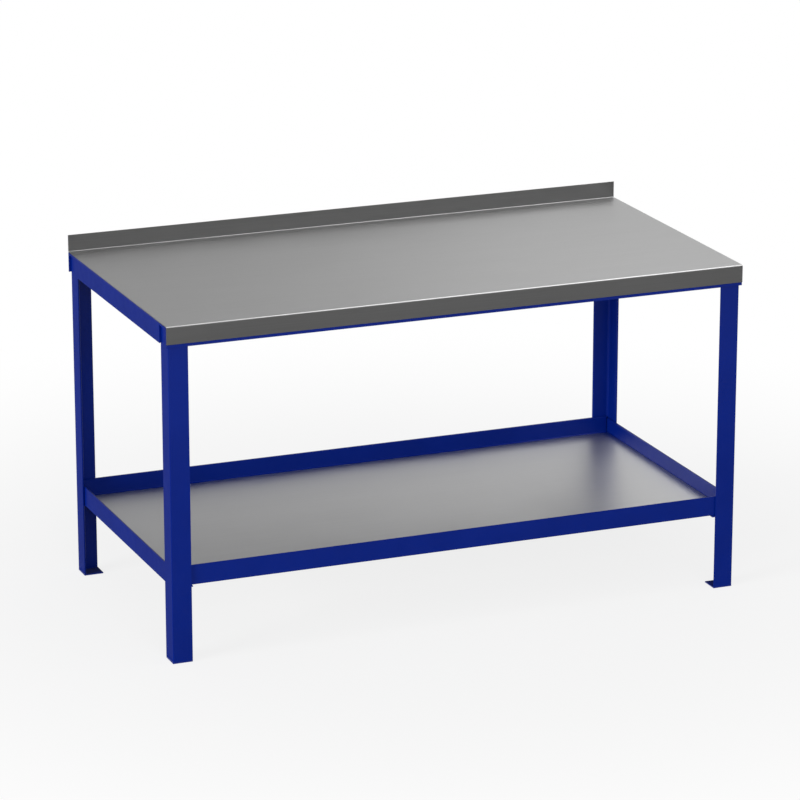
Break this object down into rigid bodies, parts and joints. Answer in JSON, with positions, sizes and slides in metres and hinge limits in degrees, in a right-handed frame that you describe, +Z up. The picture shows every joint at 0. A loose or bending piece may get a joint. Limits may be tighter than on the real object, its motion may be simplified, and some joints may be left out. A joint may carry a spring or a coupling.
{
  "type": "assembly table",
  "caption": "Welded steel work table: an angle-section frame carries a folded sheet worktop with a front lip and rear upstand, above a sheet shelf lying in a low tray of angle rails.",
  "frame": {"origin": "on the floor, under the middle of the overall length and depth", "axes": "+X along the bench to the user's right, -Y towards the user, +Z up"},
  "size_m": [1.5, 0.7524, 0.882],
  "materials": {
    "frame_paint": "deep blue powder coat, satin, with a fine orange peel",
    "worktop_steel": "grey steel sheet, brushed along its length",
    "shelf_steel": "grey steel sheet, brushed along its length, satin",
    "stiffener_steel": "mill-finish folded sheet",
    "fastener_zinc": "bright zinc plate"
  },
  "bodies": {
    "root": {"worktop": "worktop_steel", "shelf_panel": "shelf_steel", "leg_front_left": "frame_paint", "leg_front_right": "frame_paint", "leg_rear_left": "frame_paint", "leg_rear_right": "frame_paint", "foot_plate_front_left": "frame_paint", "foot_plate_front_right": "frame_paint", "foot_plate_rear_left": "frame_paint", "foot_plate_rear_right": "frame_paint", "top_rail_front": "frame_paint", "top_rail_rear": "frame_paint", "top_rail_left": "frame_paint", "top_rail_right": "frame_paint", "shelf_rail_front": "frame_paint", "shelf_rail_rear": "frame_paint", "shelf_rail_left": "frame_paint", "shelf_rail_right": "frame_paint", "worktop_stiffener_1": "stiffener_steel", "worktop_stiffener_2": "stiffener_steel", "worktop_stiffener_3": "stiffener_steel", "shelf_stiffener_1": "stiffener_steel", "shelf_stiffener_2": "stiffener_steel", "worktop_stud_front_1": "fastener_zinc", "worktop_stud_front_2": "fastener_zinc", "worktop_stud_front_3": "fastener_zinc", "worktop_stud_rear_1": "fastener_zinc", "worktop_stud_rear_2": "fastener_zinc", "worktop_stud_rear_3": "fastener_zinc", "worktop_nut_front_1": "fastener_zinc", "worktop_nut_front_2": "fastener_zinc", "worktop_nut_front_3": "fastener_zinc", "worktop_nut_rear_1": "fastener_zinc", "worktop_nut_rear_2": "fastener_zinc", "worktop_nut_rear_3": "fastener_zinc"}
  },
  "joints": []
}
